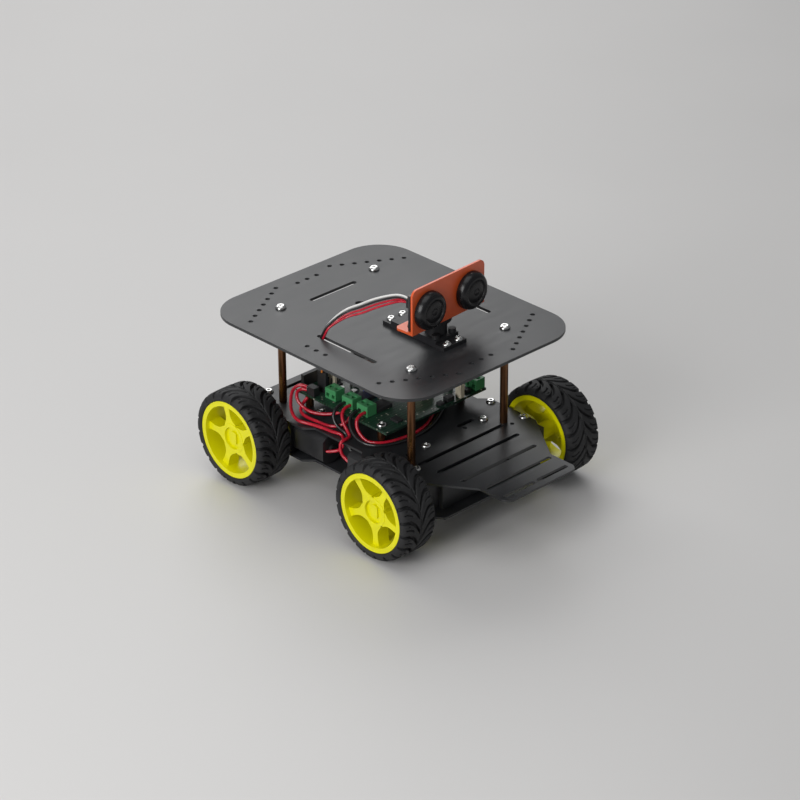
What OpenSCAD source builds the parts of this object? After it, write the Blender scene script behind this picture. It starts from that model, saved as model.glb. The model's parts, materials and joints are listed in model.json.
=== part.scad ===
// Four wheel robot chassis: a slotted base with four gear motors, a controller board,
// an upper deck on posts, and a panning range sensor on a servo.
// Frame: origin on the ground under the middle of the outline, +Z up, the front faces -Y
// and +X is the robot's own left side.

/* [Wheels] */
// Outer radius of the tyres
tyre_r = 32.5; // [31:0.5:34]
// Width of the tyres
tyre_w = 28; // [26:0.5:28]
// Distance between the middles of the left and right wheels
track = 146.8; // [146.8:0.5:152]
// Distance between the front and rear axles
wheelbase = 132; // [126:1:136]
// Output shaft radius of the gear motors
shaft_r = 2.7; // [2.5:0.1:3]

/* [Base] */
// Height of the base plate's top face
base_top = 45; // [45:0.5:47]
// Thickness of the base sheets
sheet = 1.5; // [1.5:0.1:1.8]
// Half width of the base plate between the wheels
waist_x = 51.4; // [50:0.2:54]
// Half width of the base plate over the gear motors
hip_x = 57.4; // [56.5:0.1:57.6]
// Half width of the slotted nose
nose_x = 31.5; // [29:0.5:34]

/* [Deck] */
// Width of the upper deck
deck_w = 156; // [150:1:164]
// Length of the upper deck
deck_l = 186.4; // [180:0.4:186.4]
// Thickness of the upper deck
deck_t = 2; // [1.5:0.5:2]
// Height of the upper deck's top face
deck_top = 112; // [108:1:120]
// Corner radius of the upper deck
deck_r = 27; // [20:1:32]
// Distance between the small deck holes
hole_pitch = 8.4; // [8:0.1:9]
// Radius of the small deck holes
hole_r = 1.6; // [1.5:0.05:1.7]

/* [Sensor head] */
// Width of the sensor bracket
face_w = 66; // [64:1:70]
// Height of the sensor bracket
face_h = 30.3; // [29:0.1:34]
// Radius of the sonar cans
sonar_r = 12.5; // [11:0.5:13.5]
// Distance between the middles of the sonar cans
sonar_gap = 38.2; // [36:0.2:40]
// Angle that the head stands turned to its right at rest
head_turn = 3; // [0:1:6]

/* [Hidden] */
$fn = 64;
eps = 0.01;

// Colours
plate_black = "#202226";
wheel_yellow = "#e8dc10";
rubber_black = "#181818";
bracket_orange = "#e0441a";
screw_steel = "#c8c8c8";
post_bronze = "#5a4030";
board_dark = "#10241a";
terminal_green = "#2f9a4c";
connector_cream = "#e8e0c0";
gear_black = "#26272a";
motor_steel = "#a8a8a8";
motor_dark = "#3a3a3c";

// Wheels and axles
axle_mid_y = 16.7;
axle_front_y = axle_mid_y - wheelbase / 2;
axle_rear_y = axle_mid_y + wheelbase / 2;
wheel_x = track / 2;
wheel_in = wheel_x - tyre_w / 2;
shoulder = 3.5;
bead_r = 24.5;
barrel_r = 23;
flange_r = 26.3;
flange_t = 1.5;
flange_recess = 1;
star_t = 9;
star_recess = 2.9;
spoke_drop = 0.3;
hub_r = 10;
hub_recess_r = 7.6;
star_dish = 2;
hub_boss_l = 9;
hub_boss_w = 5.4;
hub_boss_drop = 0.5;

// Gear motors
box_in = 37.6;
box_out = 56.4;
box_h = 21.5;
box_nose = 11;
box_len = 37;
can_len = 30.5;
can_r = 10;
can_flat = 7.5;
boss_l = 2;
boss_end_r = 2.6;
running_gap = 0.05;
motor_screw_back = 20.3;
motor_screw_gap = 16.4;
motor_screw_r = 1.45;
motor_hole_r = 1.5;
motor_head_r = 2.5;
motor_head_h = 2;
shaft_in = 42;
shaft_out = 72;

// Base body
base_under = base_top - sheet;
floor_z = tyre_r - box_h / 2;
floor_under = floor_z - sheet;
rear_y = 100.7;
rear_x = 42;
rear_chamfer = 12;
waist_rear_y = 39;
waist_front_y = -5;
waist_step = 6;
taper_y = -52;
nose_side_y = -90;
nose_y = -114;
nose_r = 6;
rear_panel_y = 97.2;
front_panel_y = -62;
channel_in = 6;
channel_hole_r = 5;
front_panel_hole = [20, 3];
base_slots = [[-42, 75.6], [-57.5, 72.4], [-75.4, 66.6], [-92.8, 57.4]];
slot_w = 3.2;
short_slot = [22.5, -23.5];
short_slot_l = 15;
rear_slot_y = 93;
rear_slot_l = 64;
wire_hole_x = 45;
wire_hole_r = 4;
belly_hole_x = 20;
belly_hole_y = [-52, 76];
floor_front_y = -72;
nose_slot_y = -107.5;
nose_slot_mid = 14.5;
nose_slot_l = 27;

// Deck and posts
deck_y = 20.8;
deck_under = deck_top - deck_t;
post_x = 41;
post_dy = 60;
post_r = 2.6;
post_bore_r = 1.5;
post_bore_l = 8;
screw_r = 1.45;
screw_head_r = 3.2;
screw_head_h = 1.9;
deck_head_r = 3.6;
deck_head_h = 2.2;
servo_head_r = 3;
recess_r = 1.2;
row_x = 45.5;
row_dy = 71.6;
row_turn = 30;
row_n = 7;
end_row_dy = 80;
side_row_x = 65;
deck_slot_w = 3.6;
deck_slot_x = 50;
deck_slot_y = 9.2;
deck_slot_l = 53;
back_slot_y = 75.7;
back_slot_l = 40;
cable_hole_y = 50.7;
cable_hole_r = 3;

// Servo
servo_x = 10;
servo_y = -8.8;
servo_l = 40.4;
servo_drop = 27.5;
ear_l = 55;
ear_t = 2.5;
ear_z = deck_top + ear_t;
ear_screw_x = 5;
ear_screw_dy = 25;
cap_z = 117;
boss_z = 125;
boss_r = 7.2;
corner_boss_r = 2.5;
corner_boss_z = 119.5;
corner_boss = [7.2, -26.2];
horn_y = -19;
horn_r = 10;
horn_under = 125.5;
horn_z = 129;
spline_r = 2.9;
spline_foot = 119;
servo_fit = 0.4;

// Sensor head, in places relative to the servo's shaft
face_y = -10.9;
bracket_t = 1.5;
flange_back = 4.2;
bracket_r = 4.5;
sonar_z = 142.6;
sonar_front = 6.5;
neck_r = 11;
sensor_board_y = -7.4;
sensor_board_t = 1.6;
sensor_board_w = 63;
sensor_board_h = 24;
head_hole_x = 29;
head_hole_dz = 9.5;
socket_x = -24.5;
socket_z = 147;
socket_l = 4.5;

// Controller board
board_z = 55;
board_t = 1.6;
board_top = board_z + board_t;
board_x0 = -38.5;
board_x1 = 50.4;
board_y0 = -14;
board_y1 = 73;
board_holes = [[-33.2, -3.9], [43, 2], [-33, 64], [43, 64]];
board_hole_r = 1.6;
pin_x = -22;
pin_y = 56;
pin_cols = 6;
pin_pitch = 2.54;
pin_base_h = 2.5;

// Battery
cell_r = 7.1;
cell_l = 50;
cell_pitch = 15.2;
cell_n = 5;
cell_y = 16.7;
tray_wall = 1.5;
tray_w = 58;
tray_h = 14;

// Switch and jack
switch_x = -18;
jack_x = 18;
panel_z = tyre_r;
rocker_y = 98;
rocker_tilt = 8;

// Wires
wire_r = 0.9;
lead_r = 0.6;
tube_sides = 8;

// ---------- shared shapes ----------

// A round ended bar of length l and width w along X, from z = 0 up to h
module bar(l, w, h) {
    translate([-(l - w) / 2, -w / 2, 0]) cube([l - w, w, h]);
    for (side = [-1, 1]) translate([side * (l - w) / 2, 0, 0]) cylinder(r = w / 2, h = h);
}

// A rectangle w by l with round corners of radius r
module round_rect(w, l, r) {
    square([w - 2 * r, l], center = true);
    square([w, l - 2 * r], center = true);
    for (x = [-1, 1], y = [-1, 1]) translate([x * (w / 2 - r), y * (l / 2 - r)]) circle(r);
}

// A button head screw whose head sits on z = 0 and whose shank goes down by l
module button_screw(l, shank = screw_r, head = screw_head_r, tall = screw_head_h) {
    difference() {
        union() {
            rotate_extrude() polygon([[0, 0], [head, 0], [head, tall * 0.35], [head * 0.86, tall * 0.75],
                                      [head * 0.6, tall], [0, tall]]);
            translate([0, 0, -l]) cylinder(r = shank, h = l + eps);
        }
        translate([0, 0, tall - 1]) cylinder(r = recess_r, h = 1 + eps, $fn = 6);
    }
}

// Turns children so that their +Z points to the left (+1) or to the right (-1)
module sideways(side) {
    rotate([0, side * 90, 0]) children();
}

// A point on the smooth curve through four points, t from the second to the third
function curve_point(a, b, c, d, t) =
    0.5 * (2 * b + (c - a) * t + (2 * a - 5 * b + 4 * c - d) * t * t
        + (3 * b - a - 3 * c + d) * t * t * t);

// The smooth curve through all points of a route, with n steps between two points
function smooth_route(p, n) =
    let (m = len(p) - 1)
    [for (i = [0:m - 1], k = [0:n - 1])
        curve_point(i == 0 ? 2 * p[0] - p[1] : p[i - 1], p[i], p[i + 1],
                    i == m - 1 ? 2 * p[m] - p[m - 1] : p[i + 2], k / n),
     p[m]];

function unit(v) = v / norm(v);
function heading(p, i) = unit(p[min(i + 1, len(p) - 1)] - p[max(i - 1, 0)]);
function square_to(v, t) = unit(v - (v * t) * t);

// The side direction of each ring, carried along the route without twist
function side_dirs(p, i, last) =
    i == len(p) ? [] : let (v = square_to(last, heading(p, i))) concat([v], side_dirs(p, i + 1, v));

// A round tube of radius r beside the route, as one closed solid. beside is how far its
// middle line lies from the route, across and up, so several tubes make a bundle.
module tube(route, r, steps = 3, beside = [0, 0]) {
    p = smooth_route(route, steps);
    start = abs(heading(p, 0).z) < 0.9 ? [0, 0, 1] : [1, 0, 0];
    sides = side_dirs(p, 0, square_to(start, heading(p, 0)));
    rings = len(p);
    points = [for (i = [0:rings - 1], k = [0:tube_sides - 1])
        let (a = 360 * k / tube_sides)
        p[i] + (beside.x + r * cos(a)) * sides[i]
            + (beside.y + r * sin(a)) * cross(heading(p, i), sides[i])];
    walls = [for (i = [0:rings - 2], k = [0:tube_sides - 1])
        let (j = (k + 1) % tube_sides)
        [i * tube_sides + k, (i + 1) * tube_sides + k, (i + 1) * tube_sides + j, i * tube_sides + j]];
    first_cap = [for (k = [0:tube_sides - 1]) k];
    last_cap = [for (k = [tube_sides - 1:-1:0]) (rings - 1) * tube_sides + k];
    polyhedron(points, concat([first_cap, last_cap], walls), convexity = 6);
}

// ---------- base ----------

// The base plate's outline: hips over the motors, a waist between them and a narrow nose
module base_outline() {
    nose_corner = [for (a = [0:15:90]) [nose_x - nose_r * (1 - cos(a)), nose_y + nose_r * (1 - sin(a))]];
    half = concat([[rear_x, rear_y], [hip_x, rear_y - rear_chamfer], [hip_x, waist_rear_y + waist_step],
                   [waist_x, waist_rear_y], [waist_x, waist_front_y], [hip_x, waist_front_y - waist_step],
                   [hip_x, taper_y], [nose_x, nose_side_y]], nose_corner);
    polygon(concat(half, [for (i = [len(half) - 1:-1:0]) [-half[i].x, half[i].y]]));
}

// Tapped holes for the small screws in the base plate: [x, y], the same on both sides
gearbox_holes = [[54.4, -44.1], [42.8, -45.1]];
flange_holes = [[33.6, -28.1], [33.6, 52]];
plate_holes = [[54, -14.7], [17.3, -27.9], [39.7, 96.3], [17.3, 88]];

module base_top_plate() {
    color(plate_black) difference() {
        translate([0, 0, base_under]) linear_extrude(sheet) base_outline();
        for (s = base_slots) translate([0, s.x, base_under - 1]) bar(s.y, slot_w, sheet + 2);
        translate([short_slot.x, short_slot.y, base_under - 1]) bar(short_slot_l, slot_w, sheet + 2);
        for (side = [-1, 1]) {
            translate([side * nose_slot_mid, nose_slot_y, base_under - 1]) bar(nose_slot_l, slot_w, sheet + 2);
            for (h = concat(gearbox_holes, flange_holes, plate_holes))
                translate([side * h.x, h.y, base_under - 1]) cylinder(r = post_bore_r, h = sheet + 2);
            for (end = [-1, 1]) translate([side * post_x, deck_y + end * post_dy, base_under - 1])
                cylinder(r = post_bore_r, h = sheet + 2);
            translate([side * wire_hole_x, axle_mid_y, base_under - 1])
                cylinder(r = wire_hole_r, h = sheet + 2);
        }
        translate([0, rear_slot_y, base_under - 1]) bar(rear_slot_l, slot_w, sheet + 2);
    }
}

module base_bottom_plate() {
    color(plate_black) difference() {
        translate([0, 0, floor_under]) linear_extrude(sheet) intersection() {
            base_outline();
            translate([-hip_x, floor_front_y]) square([2 * hip_x, rear_y - floor_front_y]);
        }
        for (x = [-1:1], y = belly_hole_y) translate([x * belly_hole_x, y, floor_under - 1])
            cylinder(r = hole_r, h = sheet + 2);
    }
}

// A channel that the two motors of one side are screwed to, with flanges turned inward
module side_channel(side) {
    length = rear_panel_y - front_panel_y;
    web_x = box_in - sheet;
    color(plate_black) difference() {
        union() {
            translate([side > 0 ? web_x : -box_in, front_panel_y, floor_z])
                cube([sheet, length, base_under - floor_z]);
            translate([side > 0 ? web_x - channel_in : -web_x - eps, front_panel_y, base_under - sheet])
                cube([channel_in + eps, length, sheet]);
        }
        for (end = [-1, 1], up = [-1, 1])
            translate([side * (web_x - 1), axle_mid_y + end * (wheelbase / 2 - motor_screw_back),
                       tyre_r + up * motor_screw_gap / 2])
                sideways(side) cylinder(r = motor_hole_r, h = sheet + 2);
        for (h = flange_holes) translate([side * h.x, h.y, base_under - sheet - 1])
            cylinder(r = post_bore_r, h = sheet + 2);
        translate([side * (web_x - 1), axle_mid_y, tyre_r]) sideways(side)
            cylinder(r = channel_hole_r, h = sheet + 2);
    }
}

module side_channel_left() side_channel(1);
module side_channel_right() side_channel(-1);

// The rear wall, with a window for the switch and a round hole for the power jack
module rear_panel() {
    color(plate_black) difference() {
        translate([-box_in, rear_panel_y, floor_z]) cube([2 * box_in, sheet, base_under - floor_z]);
        translate([switch_x - 6.7, rear_panel_y - 1, panel_z - 4.7]) cube([13.4, sheet + 2, 9.4]);
        translate([jack_x, rear_panel_y - 1, panel_z]) rotate([-90, 0, 0]) cylinder(r = 4, h = sheet + 2);
    }
}

module front_panel() {
    color(plate_black) difference() {
        translate([-box_in, front_panel_y - sheet, floor_z]) cube([2 * box_in, sheet, base_under - floor_z]);
        for (side = [-1, 1]) translate([side * front_panel_hole[0], front_panel_y - sheet - 1, tyre_r])
            rotate([-90, 0, 0]) cylinder(r = front_panel_hole[1], h = sheet + 2);
    }
}

// Tapped posts that stand in the base plate and hold up the deck
module deck_posts() {
    color(post_bronze) for (x = [-1, 1], y = [-1, 1])
        translate([x * post_x, deck_y + y * post_dy, 0]) difference() {
            union() {
                translate([0, 0, base_top]) cylinder(r = post_r, h = deck_under - base_top);
                translate([0, 0, base_under]) cylinder(r = screw_r, h = sheet + eps);
            }
            translate([0, 0, deck_under - post_bore_l]) cylinder(r = post_bore_r, h = post_bore_l + 1);
        }
}

// The small screws in some of the tapped holes: -1 is a hole on the right, +1 on the left
module plate_screws() {
    gearbox_screws = [for (k = [[0, 1], [1, -1]]) [k[1] * gearbox_holes[k[0]].x, gearbox_holes[k[0]].y]];
    flange_screws = [for (k = [[0, 1], [1, -1]]) [k[1] * flange_holes[k[0]].x, flange_holes[k[0]].y]];
    plate_only = [for (k = [[0, 1], [1, -1], [2, -1], [2, 1]])
        [k[1] * plate_holes[k[0]].x, plate_holes[k[0]].y]];
    color(screw_steel) {
        for (p = flange_screws) translate([p.x, p.y, base_top]) button_screw(2 * sheet);
        for (p = concat(plate_only, gearbox_screws)) translate([p.x, p.y, base_top]) button_screw(sheet);
    }
}

// ---------- battery ----------

// An open tray for a row of cells that lie across the robot
module battery_holder() {
    long = cell_n * cell_pitch + 2 * tray_wall + 0.6;
    color(gear_black) difference() {
        translate([-tray_w / 2, cell_y - long / 2, floor_z]) cube([tray_w, long, tray_h]);
        translate([-tray_w / 2 + tray_wall, cell_y - long / 2 + tray_wall, floor_z + tray_wall])
            cube([tray_w - 2 * tray_wall, long - 2 * tray_wall, tray_h]);
    }
}

function cell_pos(i) = [0, cell_y + (i - (cell_n - 1) / 2) * cell_pitch, floor_z + tray_wall + cell_r];

module battery_cells() {
    color("#3a6ea5") for (i = [0:cell_n - 1]) translate(cell_pos(i)) sideways(i % 2 == 0 ? 1 : -1) {
        translate([0, 0, -cell_l / 2]) cylinder(r = cell_r, h = cell_l - 1);
        translate([0, 0, cell_l / 2 - 1 - eps]) cylinder(r = 2.7, h = 1);
    }
}

// Sprung end plates between the cells and the tray's walls
module battery_contacts() {
    gap = tray_w / 2 - tray_wall - cell_l / 2;
    color(motor_steel) for (i = [0:cell_n - 1], side = [-1, 1]) translate(cell_pos(i))
        translate([side * (cell_l / 2 + gap / 2), 0, 0]) cube([gap - 0.2, 9, 9], center = true);
}

// ---------- rear panel fittings ----------

module dc_jack() {
    color(gear_black) translate([jack_x, 0, panel_z]) rotate([-90, 0, 0]) {
        difference() {
            union() {
                translate([0, 0, rear_panel_y - 12]) cylinder(r = 3.9, h = 12 + sheet);
                translate([0, 0, rear_panel_y + sheet]) cylinder(r = 5.5, h = 1.6);
                translate([0, 0, rear_panel_y - 4]) cylinder(r = 5.5, h = 4, $fn = 6);
            }
            translate([0, 0, rear_panel_y - 8]) cylinder(r = 3.15, h = 14);
        }
        translate([0, 0, rear_panel_y - 8 - eps]) cylinder(r = 1, h = 8);
    }
}

module switch_housing() {
    color(gear_black) difference() {
        union() {
            translate([switch_x - 6.6, rear_panel_y - 9, panel_z - 4.6]) cube([13.2, 9 + sheet, 9.2]);
            translate([switch_x - 7.8, rear_panel_y + sheet, panel_z - 5.6]) cube([15.6, 1.4, 11.2]);
        }
        translate([switch_x - 5.6, rear_panel_y - 5.5, panel_z - 3.6]) cube([11.2, 12, 7.2]);
    }
}

// The rocker turns about an upright axis in the switch housing
module switch_rocker() {
    color("#a01818") translate([switch_x, rocker_y, panel_z - 3.3]) rotate(-rocker_tilt) linear_extrude(6.6)
        polygon([[-5, 3], [0, 3.6], [5, 3], [3.4, -2.4], [-3.4, -2.4]]);
}

// ---------- wheels and motors ----------

// Gearbox of a motor: side is +1 on the left, end is +1 at the rear
module gearbox(side, end) {
    axle_y = axle_mid_y + end * wheelbase / 2;
    far_y = axle_y + end * box_nose;
    near_y = far_y - end * box_len;
    color(gear_black) difference() {
        translate([side > 0 ? box_in : -box_out, min(far_y, near_y), tyre_r - box_h / 2])
            cube([box_out - box_in, box_len, box_h]);
        translate([side * (shaft_in - 1), axle_y, tyre_r]) sideways(side)
            cylinder(r = shaft_r + running_gap, h = box_out - shaft_in + 2);
        for (up = [-1, 1]) translate([side * (box_in - 1), axle_y - end * motor_screw_back,
                                      tyre_r + up * motor_screw_gap / 2])
            sideways(side) cylinder(r = motor_hole_r, h = box_out - box_in + 2);
    }
}

// Round can with two flats and a small bearing boss at its far end
module motor(side, end) {
    start_y = axle_mid_y + end * (wheelbase / 2 + box_nose - box_len);
    mid_x = side * (box_in + box_out) / 2;
    color(motor_dark) translate([mid_x, start_y, tyre_r]) rotate([end > 0 ? 90 : -90, 0, 0]) {
        intersection() {
            cylinder(r = can_r, h = can_len - boss_l);
            translate([-can_flat, -can_r, 0]) cube([2 * can_flat, 2 * can_r, can_len]);
        }
        translate([0, 0, can_len - boss_l - eps]) cylinder(r = boss_end_r, h = boss_l);
    }
}

module shaft(side, end) {
    color("white") translate([side * shaft_in, axle_mid_y + end * wheelbase / 2, tyre_r])
        sideways(side) cylinder(r = shaft_r, h = shaft_out - shaft_in);
}

// Half the width of a spoke at r from the wheel's middle: wide at the hub, flared at the tip
function spoke_half(r) = 2.2 + 3.6 * pow(max(0, 16 - r) / 7, 2.2) + 1 * pow(max(0, r - 17) / 6.6, 2);

// One spoke of the star, from inside the hub outward into the barrel
module spoke() {
    reach = [9.3, 10.5, 12, 13.5, 15, 17, 19, 21, 22.4, 23.7];
    edge = concat([[3.2, 6.1]], [for (r = reach) [spoke_half(r), r]]);
    linear_extrude(star_t) polygon(concat(edge, [for (i = [len(edge) - 1:-1:0]) [-edge[i].x, edge[i].y]]));
}

// The boss in the middle of the hub's recess, round with two flats
module hub_boss() {
    intersection() {
        cylinder(r = hub_boss_l / 2, h = star_dish);
        translate([-hub_boss_l, -hub_boss_w / 2, 0]) cube([2 * hub_boss_l, hub_boss_w, star_dish]);
    }
}

// Rim: a barrel with two flanges, a five spoke star near its outer face, and a long hub.
// It is drawn along +Z, with z = 0 in the middle of the tyre and the outer face at +Z.
module rim_shape(turn) {
    half = tyre_w / 2 - flange_recess;
    star_top = half - star_recess;
    difference() {
        union() {
            rotate_extrude($fn = 96) polygon([
                [barrel_r, -half], [flange_r, -half], [flange_r, -half + flange_t],
                [bead_r, -half + flange_t], [bead_r, half - flange_t], [flange_r, half - flange_t],
                [flange_r, half], [barrel_r, half]]);
            translate([0, 0, -half]) cylinder(r = 5.5, h = half + star_top);
            translate([0, 0, star_top - star_t - 1]) cylinder(r = hub_r, h = star_t + 1);
            for (k = [0:4]) rotate(turn + 72 * k) translate([0, 0, star_top - star_t - spoke_drop]) spoke();
        }
        translate([0, 0, star_top - star_dish]) difference() {
            cylinder(r = hub_recess_r, h = star_dish + 1);
            translate([0, 0, -hub_boss_drop]) hub_boss();
        }
        translate([0, 0, -half - 1]) cylinder(r = shaft_r, h = shaft_out - wheel_in - flange_recess + 1);
    }
}

module rim(side, end, turn) {
    color(wheel_yellow) translate([side * wheel_x, axle_mid_y + end * wheelbase / 2, tyre_r])
        sideways(side) rim_shape(turn);
}

// Tyre with round shoulders, open where the rim's flanges sit
module tyre_shape() {
    half = tyre_w / 2;
    step = half - flange_recess - flange_t;
    rotate_extrude($fn = 96) difference() {
        translate([bead_r, -half]) square([tyre_r - bead_r, tyre_w]);
        for (face = [-1, 1]) {
            translate([0, face > 0 ? step : -half - 1]) square([flange_r, half - step + 1]);
            translate([tyre_r - shoulder, face > 0 ? half - shoulder : -half]) difference() {
                square(shoulder + eps);
                translate([0, face > 0 ? 0 : shoulder]) circle(shoulder);
            }
        }
    }
}

module tyre(side, end) {
    color(rubber_black) translate([side * wheel_x, axle_mid_y + end * wheelbase / 2, tyre_r])
        sideways(side) tyre_shape();
}

module gearbox_front_left() gearbox(1, -1);
module gearbox_front_right() gearbox(-1, -1);
module gearbox_rear_left() gearbox(1, 1);
module gearbox_rear_right() gearbox(-1, 1);
module motor_front_left() motor(1, -1);
module motor_front_right() motor(-1, -1);
module motor_rear_left() motor(1, 1);
module motor_rear_right() motor(-1, 1);
module shaft_front_left() shaft(1, -1);
module shaft_front_right() shaft(-1, -1);
module shaft_rear_left() shaft(1, 1);
module shaft_rear_right() shaft(-1, 1);
module rim_front_left() rim(1, -1, 12);
module rim_front_right() rim(-1, -1, 22);
module rim_rear_left() rim(1, 1, 30);
module rim_rear_right() rim(-1, 1, 69);
module tyre_front_left() tyre(1, -1);
module tyre_front_right() tyre(-1, -1);
module tyre_rear_left() tyre(1, 1);
module tyre_rear_right() tyre(-1, 1);

// Two long screws hold each gearbox to its channel
module motor_screws() {
    color(screw_steel) for (side = [-1, 1], end = [-1, 1], up = [-1, 1])
        translate([side * box_out, axle_mid_y + end * (wheelbase / 2 - motor_screw_back),
                   tyre_r + up * motor_screw_gap / 2])
            sideways(side) button_screw(box_out - box_in + sheet, motor_screw_r, motor_head_r, motor_head_h);
}

// ---------- upper deck ----------

// Places of the small holes in a quarter of the deck, measured from the deck's middle
function corner_row(x, y) =
    [for (i = [0:row_n - 1]) let (d = (i - (row_n - 1) / 2) * hole_pitch)
        [x * (row_x - d * cos(row_turn)), y * (row_dy + d * sin(row_turn))]];

module upper_deck() {
    corner_holes = [for (x = [-1, 1], y = [-1, 1]) each corner_row(x, y)];
    end_holes = [for (y = [-1, 1], i = [-1:1]) [i * hole_pitch, y * end_row_dy]];
    side_holes = [for (x = [-1, 1], i = [-1:1]) [x * side_row_x, i * hole_pitch]];
    color(plate_black) difference() {
        translate([0, deck_y, deck_under]) linear_extrude(deck_t) round_rect(deck_w, deck_l, deck_r);
        for (h = concat(corner_holes, end_holes, side_holes)) translate([h.x, deck_y + h.y, deck_under - 1])
            cylinder(r = hole_r, h = deck_t + 2);
        for (x = [-1, 1], y = [-1, 1]) translate([x * post_x, deck_y + y * post_dy, deck_under - 1])
            cylinder(r = hole_r, h = deck_t + 2);
        for (x = [-1, 1]) translate([x * deck_slot_x, deck_slot_y, deck_under - 1])
            rotate(90) bar(deck_slot_l, deck_slot_w, deck_t + 2);
        translate([0, back_slot_y, deck_under - 1]) bar(back_slot_l, deck_slot_w, deck_t + 2);
        translate([0, cable_hole_y, deck_under - 1]) cylinder(r = cable_hole_r, h = deck_t + 2);
        translate([-servo_x - servo_fit, servo_y - servo_l / 2 - servo_fit, deck_under - 1])
            cube([2 * (servo_x + servo_fit), servo_l + 2 * servo_fit, deck_t + 2]);
        for (x = [-1, 1], y = [-1, 1]) translate([x * ear_screw_x, servo_y + y * ear_screw_dy, deck_under - 1])
            cylinder(r = hole_r, h = deck_t + 2);
    }
}

module deck_screws() {
    color(screw_steel) for (x = [-1, 1], y = [-1, 1])
        translate([x * post_x, deck_y + y * post_dy, deck_top])
            button_screw(deck_t + post_bore_l - 1, screw_r, deck_head_r, deck_head_h);
}

// ---------- controller board ----------

module controller_board() {
    color(board_dark) difference() {
        translate([board_x0, board_y0, board_z]) cube([board_x1 - board_x0, board_y1 - board_y0, board_t]);
        for (h = board_holes) translate([h.x, h.y, board_z - 1]) cylinder(r = board_hole_r, h = board_t + 2);
    }
}

module board_spacers() {
    color(post_bronze) for (h = board_holes) translate([h.x, h.y, base_top]) difference() {
        cylinder(r = 2.75, h = board_z - base_top);
        translate([0, 0, board_z - base_top - 6]) cylinder(r = post_bore_r, h = 7);
    }
}

module board_screws() {
    color(screw_steel) for (h = board_holes) translate([h.x, h.y, board_top]) button_screw(board_t + 5);
}

// A box on the board: x, y of its middle and its size
module on_board(x, y, size) {
    translate([x - size.x / 2, y - size.y / 2, board_top]) cube(size);
}

// Socket strips along the rear edge, and three rows of upright pins
module pin_headers() {
    color(gear_black) {
        for (x = [-21, 8]) on_board(x, 70, [25, 2.6, 8.5]);
        on_board(pin_x, pin_y, [pin_cols * pin_pitch, 3 * pin_pitch, pin_base_h]);
    }
    color(motor_steel) for (i = [0:pin_cols - 1], j = [-1:1])
        translate([pin_x + (i - (pin_cols - 1) / 2) * pin_pitch, pin_y + j * pin_pitch,
                   board_top + pin_base_h - eps])
            cylinder(r = 0.35, h = 6);
}

terminal_size = [8, 9.8, 7.4];
terminals = [[-28.8, 44.1], [-28.8, 28.3], [-28.8, 14.4], [46.3, -8]];

// Two way screw terminals: an opening for each wire in the side, and a screw above it
module screw_terminals() {
    color(terminal_green) for (t = terminals) difference() {
        on_board(t.x, t.y, terminal_size);
        for (way = [-1, 1]) {
            translate([t.x, t.y + way * 2.54, board_top + terminal_size.z - 3]) cylinder(r = 1.7, h = 4);
            translate([t.x - terminal_size.x / 2 - 1, t.y + way * 2.54 - 1.3, board_top + 1.4])
                cube([4, 2.6, 2.6]);
        }
    }
}

module power_connectors() {
    color(connector_cream) {
        on_board(-15, 63, [9, 5.8, 8]);
        on_board(-36, 57, [5, 7, 6]);
        on_board(14, 6, [12, 5.8, 8]);
        on_board(29.5, -11, [3.4, 5, 10]);
    }
}

module board_chips() {
    color("#151515") {
        on_board(4, 38, [12, 12, 1.4]);
        for (y = [14, 30]) on_board(-17.5, y, [13, 9, 2.4]);
        on_board(26, 34, [9, 6, 1.6]);
        on_board(28, 18, [7, 7, 1.4]);
        on_board(37.5, -8, [4, 6, 2.2]);
        on_board(21, -9.5, [6, 4.5, 3]);
        on_board(13, -10, [4, 4, 1.8]);
        on_board(-22, -6, [5, 7, 1.6]);
    }
}

module board_capacitors() {
    color(motor_steel) {
        for (p = [[-8, 48], [-7, 23.5], [16, 52], [34, 4]]) translate([p.x, p.y, board_top])
            cylinder(r = 3.1, h = 7);
        for (p = [[-19.5, 48], [-16.3, 39]]) translate([p.x, p.y, board_top]) cylinder(r = 2, h = 3);
        on_board(16, 22, [11, 4.6, 3.5]);
    }
    color("#2038a0") on_board(-7, 34, [7, 7, 8]);
}

// ---------- servo ----------

// The servo's body with its ears; it hangs in the deck from the ears
module servo_case() {
    color(gear_black) difference() {
        union() {
            translate([-servo_x, servo_y - servo_l / 2, deck_top - servo_drop])
                cube([2 * servo_x, servo_l, servo_drop + ear_t]);
            translate([-servo_x, servo_y - ear_l / 2, deck_top]) cube([2 * servo_x, ear_l, ear_t]);
        }
        for (x = [-1, 1], y = [-1, 1]) translate([x * ear_screw_x, servo_y + y * ear_screw_dy, deck_top - 1])
            cylinder(r = 2.1, h = ear_t + 2);
    }
}

// The servo's upper cap, with the round tower that its shaft comes out of and two small bosses
module servo_cap() {
    color(gear_black) difference() {
        union() {
            translate([-servo_x, servo_y - servo_l / 2, ear_z]) cube([2 * servo_x, servo_l, cap_z - ear_z]);
            translate([0, horn_y, cap_z - eps]) cylinder(r = boss_r, h = boss_z - cap_z + eps);
            for (side = [-1, 1]) translate([side * corner_boss.x, corner_boss.y, cap_z - eps])
                cylinder(r = corner_boss_r, h = corner_boss_z - cap_z + eps);
        }
        translate([0, horn_y, spline_foot - 0.5])
            cylinder(r = spline_r + running_gap, h = boss_z - spline_foot + 1);
    }
}

module servo_screws() {
    grip = ear_t + deck_t;
    color(screw_steel) for (x = [-1, 1], y = [-1, 1])
        translate([x * ear_screw_x, servo_y + y * ear_screw_dy, ear_z]) {
            button_screw(grip + 3, screw_r, servo_head_r);
            translate([0, 0, -grip - 2.4]) cylinder(r = 3.1, h = 2.4, $fn = 6);
        }
}

// ---------- sensor head ----------

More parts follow.
